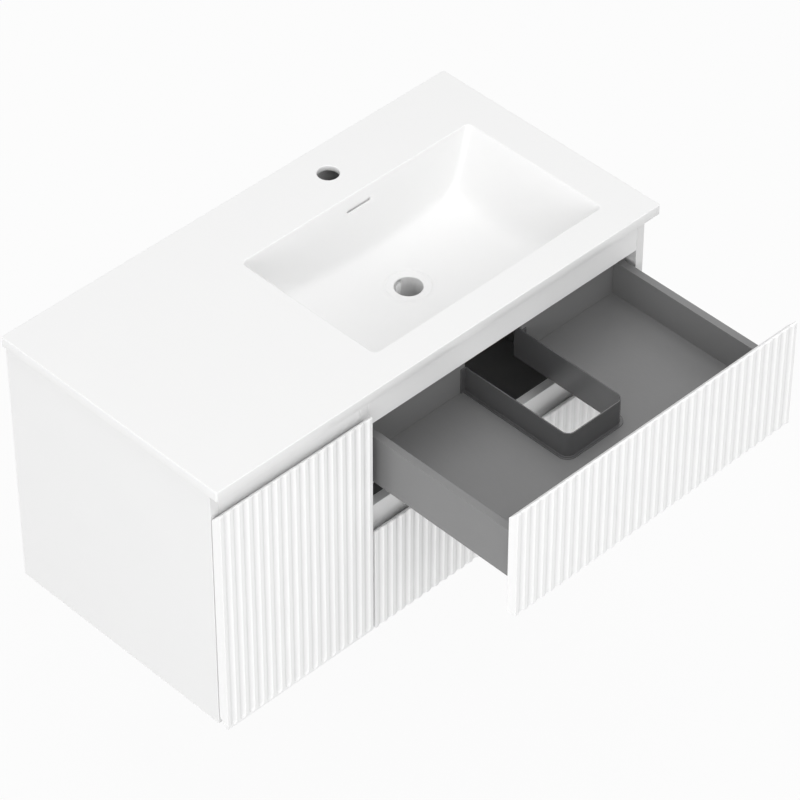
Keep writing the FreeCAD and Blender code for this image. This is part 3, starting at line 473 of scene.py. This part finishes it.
# Door hinges and buffers: pressed nickel-plated cups and arms on steel pins, and small clear silicone dots
# that keep the fronts off the carcass. The dots are cast with a slightly matt skin.
nickel = plated_finish("nickel_plate", (0.78, 0.76, 0.72), (0.66, 0.64, 0.61), 0.16, 900.0)
dress(nickel, "upper_hinge_cup", "upper_hinge_arm", "lower_hinge_cup", "lower_hinge_arm", "hinge_pins",
      "hinge_cup_screws")
silicone, silicone_shader, silicone_place = new_finish("clear_silicone")
silicone_cloud = silicone_place.noise(500.0, 2.0)
silicone_cloud.blend((0.66, 0.67, 0.68), (0.76, 0.77, 0.78)).feed(silicone_shader, "Base Color")
(0.35 + silicone_cloud * 0.15).feed(silicone_shader, "Roughness")
dress(silicone, "door_bumpers", "upper_drawer_bumpers", "lower_drawer_bumpers")


# Worktop: one casting of mineral and resin in a white gel coat, with the bowl, the tap hole, the overflow
# slot and the waste hole in one skin. It lies on the carcass, and the bowl hangs between the rails.
out_points, side_points, bend_points = 6, 16, 9


def loops(x0, x1, y0, y1, radius, height, centre_x, fixed):
    """Closed outlines one per row: rectangles with round corners, counted so that every row has equal points.

    Along front and back, the middle points stay at fixed distances from the centre line, so holes cut
    there have square cells; outside them and along the sides the points share out what is left.
    """
    shape = np.broadcast_arrays(*(np.atleast_1d(np.asarray(v, float))
                                  for v in (x0, x1, y0, y1, radius, height)))
    x0, x1, y0, y1, radius, height = (v[:, None] for v in shape)
    spread = np.linspace(0.0, 1.0, out_points + 2)[None, 1:-1]
    left_out = x0 + radius + (centre_x + fixed[0] - x0 - radius) * spread
    right_out = centre_x + fixed[-1] + (x1 - radius - centre_x - fixed[-1]) * spread
    middle = np.broadcast_to(centre_x + fixed[None], (len(x0), len(fixed)))
    line = np.hstack((left_out, middle, right_out))
    along = y0 + radius + (y1 - y0 - 2 * radius) * np.linspace(0.0, 1.0, side_points + 2)[None, 1:-1]
    bend = np.linspace(0.0, np.pi / 2, bend_points)[None]
    ones_line, ones_side = np.ones_like(line), np.ones_like(along)
    xs = (line, x1 - radius + radius * np.sin(bend), x1 * ones_side, x1 - radius + radius * np.cos(bend),
          line[:, ::-1], x0 + radius - radius * np.sin(bend), x0 * ones_side,
          x0 + radius - radius * np.cos(bend))
    ys = (y0 * ones_line, y0 + radius - radius * np.cos(bend), along, y1 - radius + radius * np.sin(bend),
          y1 * ones_line, y1 - radius + radius * np.cos(bend), along[:, ::-1],
          y0 + radius - radius * np.sin(bend))
    x, y = np.hstack(xs), np.hstack(ys)
    return np.stack((x, y, np.broadcast_to(height, x.shape)), -1)


def make_worktop():
    """The casting as one closed skin.

    Outlines run from the top's outer edge in over the rim, down the bowl to the waste hole, back under the
    bowl and out along the underside to the edge again. Windows left in that grid are joined to round or
    slot-shaped rings for the tap hole with its pocket below, the overflow and its outlet in the waste hole.
    """
    low, high = (np.array(corner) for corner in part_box("worktop"))
    top, under = high[2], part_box("left_side_panel")[1][2]
    bowl_x, bowl_y = np.array((-0.0905, 0.3825)), np.array((-0.403, -0.121))
    centre_x, middle_y = bowl_x.mean(), bowl_y.mean()
    wall_depth, side_run, end_run = 0.095, 0.045, 0.017
    side_slope, end_slope = side_run / wall_depth, end_run / wall_depth
    full_depth, back_fall, rim_radius, foot_radius = 0.117, 0.006, 0.009, 0.015
    drain_y, drain_top, drain_radius, boss_radius = -0.232, top - full_depth, 0.0225, 0.032
    tap_y, tap_radius, tap_deck, pocket_radius = -0.0585, 0.0175, 0.010, 0.027
    shell, floor_shell = 0.009, 0.005
    recess_edge, floor_rise, foot_soft, floor_bow = 0.037, 0.016, 0.016, 1.35
    reach_side, reach_back, reach_front = 0.190, 0.094, 0.154
    fixed = np.array((-34.0, -24.5, -18.4, -12.25, -6.1, 0.0, 6.1, 12.25, 18.4, 24.5, 34.0)) / 1000
    tap_points, slot_points = 9, 5
    tap_rows = tap_y + np.linspace(fixed[-1], fixed[0], tap_points)
    rim_round, edge, foot_edge, corner = 0.002, 0.0015, 0.0006, 0.003

    def level_loops(inset_x, inset_y, radius, height):
        return loops(bowl_x[0] + inset_x, bowl_x[1] - inset_x, bowl_y[0] + inset_y, bowl_y[1] - inset_y,
                     radius, height, centre_x, fixed)

    def wall_loops(depth, grow=0.0, sink=0.0):
        """Outlines on the bowl's wall at the depths given, tipped a little towards the back."""
        depth = np.atleast_1d(depth)
        made = level_loops(side_slope * depth - grow, end_slope * depth - grow,
                           rim_radius + (foot_radius - rim_radius) * depth / full_depth + grow,
                           top - depth - sink)
        tip = (back_fall * depth / full_depth)[:, None] * (made[..., 1] - middle_y) / (bowl_y[1] - middle_y)
        made[..., 2] -= tip
        return made

    def bowl_floor(x, y, bow):
        """The floor's height: level round the waste hole, rising by a power of the way to the walls' foot."""
        off_x, off_y = x - centre_x, y - drain_y
        away = np.hypot(off_x, off_y)
        reach = away / np.hypot(off_x / reach_side, off_y / np.where(off_y > 0.0, reach_back, reach_front))
        return drain_top + floor_rise * (np.maximum(away - recess_edge, 0.0) / (reach - recess_edge)) ** bow

    def bowl_rows(depths, shares, ring, grow, sink, bow):
        """Outlines down the wall and in over the floor to a ring; a soft maximum of both rounds the foot."""
        wall = wall_loops(depths, grow, sink)
        inward = wall[-1] + (ring - wall[-1]) * shares[:, None, None]
        made = np.concatenate((wall, inward))
        floor = bowl_floor(made[..., 0], made[..., 1], bow) - sink
        made[..., 2] = foot_soft * np.logaddexp(made[..., 2] / foot_soft, floor / foot_soft)
        made[len(wall):, :, 2] = floor[len(wall):] + (made[len(wall) - 1, :, 2] - floor[len(wall) - 1]) * (
            1.0 - shares[:, None]) ** 3
        return made

    def slab_loops(share, inner, inset, height):
        """Outlines between the slab's edge and the bowl's outline given, on a level face."""
        share = np.atleast_1d(share)
        inner_x0, inner_x1, inner_y0, inner_y1, inner_radius = inner
        return loops(low[0] + inset + (inner_x0 - low[0] - inset) * share,
                     high[0] - inset + (inner_x1 - high[0] + inset) * share,
                     low[1] + inset + (inner_y0 - low[1] - inset) * share,
                     high[1] - inset + (inner_y1 - high[1] + inset) * share,
                     corner - inset + (inner_radius - corner + inset) * share, height, centre_x, fixed)

    def circles(around, radii, heights):
        """Rings about the waste hole, each point in the direction of the outline's own point."""
        away = around[:, :2] - (centre_x, drain_y)
        away /= np.linalg.norm(away, axis=1, keepdims=True)
        radii, heights = np.array(radii)[:, None, None], np.array(heights)[:, None]
        flat = np.array((centre_x, drain_y)) + radii * away
        return np.concatenate((flat, np.broadcast_to(heights[..., None], (*flat.shape[:2], 1))), 2)

    rim = (bowl_x[0] - rim_round, bowl_x[1] + rim_round, bowl_y[0] - rim_round, bowl_y[1] + rim_round,
           rim_radius + rim_round)
    top_shares = np.concatenate(((0.0,), (tap_rows - high[1] + edge) / (rim[3] - high[1] + edge), (1.0,)))
    top_band = slab_loops(top_shares, rim, edge, top)
    turn_in = np.linspace(0.2, 1.0, 5)
    rim_share, slot_share = 0.95, 0.95
    rim_depth = turn_in ** 2 * rim_round * rim_share
    rim_rows = level_loops(-rim_round * (1 - turn_in) ** 2 + side_slope * rim_depth,
                           -rim_round * (1 - turn_in) ** 2 + end_slope * rim_depth,
                           rim_radius + rim_round * (1 - turn_in) ** 2, top - rim_depth)
    slot_depth, slot_reach, foot_depth = 0.0238, 0.006, 0.099
    slot_rows = slot_depth + slot_reach * np.linspace(-1.0, 1.0, slot_points)
    foot = wall_loops(foot_depth)[0]
    bowl_depths = np.concatenate(((0.008,), slot_rows, np.linspace(0.038, 0.074, 5),
                                  np.linspace(0.080, 0.128, 13), (0.135, 0.144, 0.155)))
    bowl = bowl_rows(bowl_depths, np.linspace(0.0, 1.0, 17)[1:],
                     circles(foot, (recess_edge,), (drain_top,))[0], 0.0, 0.0, floor_bow)
    recess_radii = (0.0364, 0.0356, 0.0348, 0.0335, 0.0242, 0.0232, 0.0227)
    recess_drops = (0.0004, 0.0013, 0.0018, 0.002, 0.002, 0.0022, 0.0027, 0.0034)
    outlet_drops = (0.006, 0.0077, 0.0094, 0.0111, 0.0128)
    hole_foot = low[2] + 0.0008
    hole_heights = (*(drain_top - np.array(recess_drops + outlet_drops)), hole_foot)
    hole = circles(foot, recess_radii + (drain_radius,) * (len(hole_heights) - len(recess_radii)), hole_heights)
    boss_grow = np.array((0.0003, 0.0009, -0.0009, -0.0003, 0.0, 0.0, 0.0006, 0.002))
    boss_lift = np.array((0.0002, 0.0, 0.0, 0.0003, 0.0009, -0.0025, -0.0008, 0.0))
    boss = circles(foot, np.repeat((drain_radius, boss_radius), (2, 6)) + boss_grow,
                   np.repeat((low[2], drain_top - floor_shell), (5, 3)) + boss_lift)
    out_depths = np.concatenate(((0.016, 0.034, 0.052, 0.070), np.linspace(0.082, 0.128, 8), (0.140, 0.155)))
    boss_gap, rim_side, rim_end, under_radius = 0.004, 0.007, 0.011, 0.02
    out_ring = circles(foot, (recess_edge + boss_gap,), (drain_top,))[0]
    out_bowl = bowl_rows(out_depths, np.linspace(0.0, 1.0, 9)[1:], out_ring, shell, floor_shell, 1.0)[::-1]
    under_rim = (bowl_x[0] - rim_side, bowl_x[1] + rim_side, bowl_y[0] - rim_end, bowl_y[1] + rim_end,
                 under_radius)
    under_shares = np.concatenate(((1.0,), (tap_rows[::-1] - high[1] + foot_edge)
                                   / (under_rim[3] - high[1] + foot_edge), (0.0,)))
    under_band = slab_loops(under_shares, under_rim, foot_edge, under)
    side_turn = np.linspace(0.0, np.pi / 2, 6)[1:-1]
    foot_step = 0.0002
    side_inset = np.concatenate(((foot_step, 0.0, 0.0), edge * (1 - np.cos(side_turn))))
    side_height = np.concatenate(((under + foot_step, under + foot_edge, top - edge),
                                  top - edge * (1 - np.sin(side_turn))))
    side = loops(low[0] + side_inset, high[0] - side_inset, low[1] + side_inset, high[1] - side_inset,
                 corner - side_inset, side_height, centre_x, fixed)

    groups = (top_band, rim_rows, bowl, hole, boss, out_bowl, under_band, side)
    starts = np.cumsum([0] + [len(g) for g in groups])
    skin = np.concatenate(groups)
    index = np.arange(skin[..., 0].size).reshape(skin.shape[:2])
    quads = grid_faces(np.pad(index, ((0, 1), (0, 1)), mode="wrap"))
    keep = np.ones(quads.shape[:2], bool)
    line_count = len(fixed) + 2 * out_points
    first_fixed = line_count + 2 * bend_points + side_points + out_points
    wide = (first_fixed, first_fixed + len(fixed) - 1)
    narrow = (wide[0] + 1, wide[1] - 1)
    outlet_start = starts[3] + len(recess_drops)
    windows = {"tap_top": ((starts[0] + 1, starts[0] + tap_points), wide),
               "slot": ((starts[2] + 1, starts[2] + slot_points), wide),
               "outlet": ((outlet_start, outlet_start + len(outlet_drops) - 1), narrow),
               "tap_under": ((starts[6] + 1, starts[6] + tap_points), wide)}
    rings = {}
    for name, (rows, columns) in windows.items():
        keep[rows[0]:rows[1], columns[0]:columns[1]] = False
        rings[name] = window_ring(index, rows, columns)
    points = skin.reshape(-1, 3)
    extra, total = [], len(points)
    faces = quads[keep].tolist()

    def add_rings(start, made, end=None):
        """Rings of new points from a window inward, shut by one face or joined to another window."""
        nonlocal total
        numbers = [start]
        for ring in made:
            extra.append(ring)
            numbers.append(np.arange(total, total + len(ring)))
            total += len(ring)
        if end is None:
            faces.append(numbers[-1].tolist())
        else:
            numbers.append(end)
        faces.extend(ring_faces(numbers))
        return numbers

    tap_ring = points[rings["tap_top"]]
    tap_away = tap_ring[:, :2] - (centre_x, tap_y)
    tap_away /= np.linalg.norm(tap_away, axis=1, keepdims=True)
    tap_grow = np.array((0.0012, 0.0004, 0.0, 0.0, 0.0003, 0.001, -0.001, -0.0003, 0.0, 0.0, 0.0003, 0.001))
    tap_lift = np.array((0.0, -0.0003, -0.0011, 0.001, 0.0003, 0.0, 0.0, -0.0003, -0.001, 0.001, 0.0003, 0.0))
    tap_radii = np.repeat((tap_radius, pocket_radius), 6) + tap_grow
    tap_heights = np.repeat((top, top - tap_deck, under), (3, 6, 3)) + tap_lift
    tap_rings = [np.column_stack((np.array((centre_x, tap_y)) + tap_away * radius,
                                  np.full(len(tap_away), height)))
                 for radius, height in zip(tap_radii, tap_heights)]
    under_ring = rings["tap_under"]
    gap = np.linalg.norm(tap_ring[:, None, :2] - points[under_ring][None, :, :2], axis=2)
    tap_numbers = add_rings(rings["tap_top"], tap_rings, under_ring[np.argmin(gap, axis=1)])

    slot_ring = points[rings["slot"]]
    slot_height = slot_ring[:, 2].min() / 2 + slot_ring[:, 2].max() / 2
    off = np.stack((slot_ring[:, 0] - centre_x, slot_ring[:, 2] - slot_height), 1)
    slot_half, slot_round = 0.0220, 0.0025
    spine = np.clip(off[:, :1], -slot_half, slot_half) * (1.0, 0.0)
    swing = (off - spine) / np.linalg.norm(off - spine, axis=1, keepdims=True)

    def slot_at(grow, back, fall):
        """The slot's outline grown outward and carried back, its lower half dropped to make the passage."""
        flat = spine + swing * (slot_round + grow)
        height = slot_height + flat[:, 1] - fall * (flat[:, 1] < 0.0)
        wall_y = bowl_y[1] - end_slope * (top - height) * slot_share
        return np.column_stack((centre_x + flat[:, 0], wall_y + back, height))

    slot_steps = ((0.0007, 0.0, 0.0), (0.0002, 0.0002, 0.0), (0.0, 0.0008, 0.0), (0.0, 0.003, 0.0),
                  (0.0, 0.0033, 0.06), (0.0, 0.0165, 0.06))
    add_rings(rings["slot"], [slot_at(*slot_step) for slot_step in slot_steps])

    outlet_ring = points[rings["outlet"]]
    outlet_middle = outlet_ring.mean(0)
    outlet_shares, outlet_backs = (0.96, 1.0, 0.93), (0.0006, 0.016)
    inward = outlet_middle + (outlet_ring - outlet_middle) * outlet_shares
    add_rings(rings["outlet"], [inward + (0.0, back, 0.0) for back in outlet_backs])

    points = np.concatenate([points] + extra)
    mesh = bpy.data.meshes.new("worktop_normals")
    mesh.from_pydata(points.tolist(), [], faces)
    normals = np.array([tuple(n.vector) for n in mesh.vertex_normals])
    bpy.data.meshes.remove(mesh)
    normals[index[starts[0]:starts[1]].reshape(-1)] = (0.0, 0.0, 1.0)
    normals[index[starts[6]:starts[7]].reshape(-1)] = (0.0, 0.0, -1.0)
    normals[tap_numbers[1]] = (0.0, 0.0, 1.0)
    normals[tap_numbers[-2]] = (0.0, 0.0, -1.0)
    return points, faces, normals


gel_coat = white_finish("white_gel_coat", (0.865, 0.865, 0.862), (0.85, 0.85, 0.85), 0.24, 160.0, 0.00001)
# The overflow's passage: an upright tank behind the bowl and a neck from it to the waste hole's boss.
tank_corners = ((-0.100, 0.0915), (-0.1195, 0.0915), (-0.1335, 0.015), (-0.1335, -0.025), (-0.100, -0.025))
neck_corners = ((-0.112, -0.025), (-0.112, 0.020), (-0.133, 0.008), (-0.195, -0.008), (-0.205, -0.0095),
                (-0.205, -0.025))
tank_edge, tank_ends = 0.002, (0.1165, 0.1755)
neck_edge, neck_ends = 0.0008, (0.132, 0.160)
duct = [carried_profile(*rounded_profile(corners, duct_edge), np.array(((x0, 0.0, 0.0), (x1, 0.0, 0.0))),
                        np.array(((0.0, 1.0, 0.0),) * 2))
        for corners, duct_edge, (x0, x1) in ((tank_corners, tank_edge, tank_ends),
                                             (neck_corners, neck_edge, neck_ends))]
add_piece("worktop_casting", joined(make_worktop(), *duct), gel_coat, "cabinet", "cast_top", "worktop")


# Floor and light: a pale floor at its real distance below the unit, an even white sky and four large soft
# lamps. The floor and the sky show as white, and the floor keeps a faint shadow.
floor_height, floor_half, floor_tone, floor_white_share = -0.74, 14.0, 0.6, 0.94
floor_mesh = bpy.data.meshes.new("studio_floor")
floor_corners = ((-1, -1), (1, -1), (1, 1), (-1, 1))
floor_mesh.from_pydata([(x * floor_half, y * floor_half, floor_height) for x, y in floor_corners], [],
                       [(0, 1, 2, 3)])
floor = bpy.data.objects.new("studio_floor", floor_mesh)
bpy.context.scene.collection.objects.link(floor)


def seen_white(tree):
    """1 for rays from the camera or mirrored or bent on their way from it, so that these see plain white."""
    ray = Tone(tree, tree.nodes.new("ShaderNodeLightPath").outputs["Is Camera Ray"])
    others = [Tone(tree, ray.socket.node.outputs[name]) for name in ("Is Glossy Ray", "Is Transmission Ray")]
    seen = ray.maths("MAXIMUM", ray, others[0])
    return seen.maths("MAXIMUM", seen, others[1])


floor_paint = bpy.data.materials.new("studio_floor")
floor_paint.use_nodes = True
floor_tree = floor_paint.node_tree
floor_tree.nodes.remove(floor_tree.nodes["Principled BSDF"])
floor_seen = seen_white(floor_tree)
floor_matt = floor_seen.node("ShaderNodeBsdfDiffuse", {}, {"Color": (*[floor_tone] * 3, 1.0)})
floor_glow = floor_seen.node("ShaderNodeEmission", {}, {"Color": (1.0, 1.0, 1.0, 1.0), "Strength": 1.0})
floor_mix = floor_seen.node("ShaderNodeMixShader", {},
                            {0: floor_seen * floor_white_share, 1: floor_matt, 2: floor_glow})
floor_tree.links.new(floor_mix.socket, floor_tree.nodes["Material Output"].inputs["Surface"])
floor_mesh.materials.append(floor_paint)

sky_strength = 0.55
sky = bpy.data.worlds.new("studio_sky")
bpy.context.scene.world = sky
sky.use_nodes = True
sky_tree = sky.node_tree
sky_seen = seen_white(sky_tree)
(sky_strength + sky_seen * (1.0 - sky_strength)).feed(sky_tree.nodes["Background"], "Strength")
sky_tree.nodes["Background"].inputs["Color"].default_value = (1.0, 1.0, 1.0, 1.0)

lamp_distance, lamp_side = 8.0, 6.0
lamp_aim = np.array((0.0, -0.3, 0.0))
for name, watts, direction in (("top_soft_box", 202.0, (0.0, 0.01, 1.0)),
                               ("front_soft_box", 146.0, (0.0, -0.7, 0.7)),
                               ("left_soft_box", 180.0, (-1.0, 0.0, 0.12)),
                               ("corner_soft_box", 276.0, (-0.75, -0.65, 0.1))):
    lamp = bpy.data.objects.new(name, bpy.data.lights.new(name, "AREA"))
    lamp.data.size, lamp.data.energy = lamp_side, watts
    lamp_back = np.array(direction) / np.linalg.norm(direction)
    lamp_across = np.cross((0.0, 0.0, 1.0), lamp_back)
    lamp_across /= np.linalg.norm(lamp_across)
    lamp_turn = np.eye(4)
    lamp_turn[:3, :4] = np.column_stack((lamp_across, np.cross(lamp_back, lamp_across), lamp_back,
                                         lamp_aim + lamp_distance * lamp_back))
    lamp.matrix_world = Matrix(lamp_turn.tolist())
    bpy.context.scene.collection.objects.link(lamp)
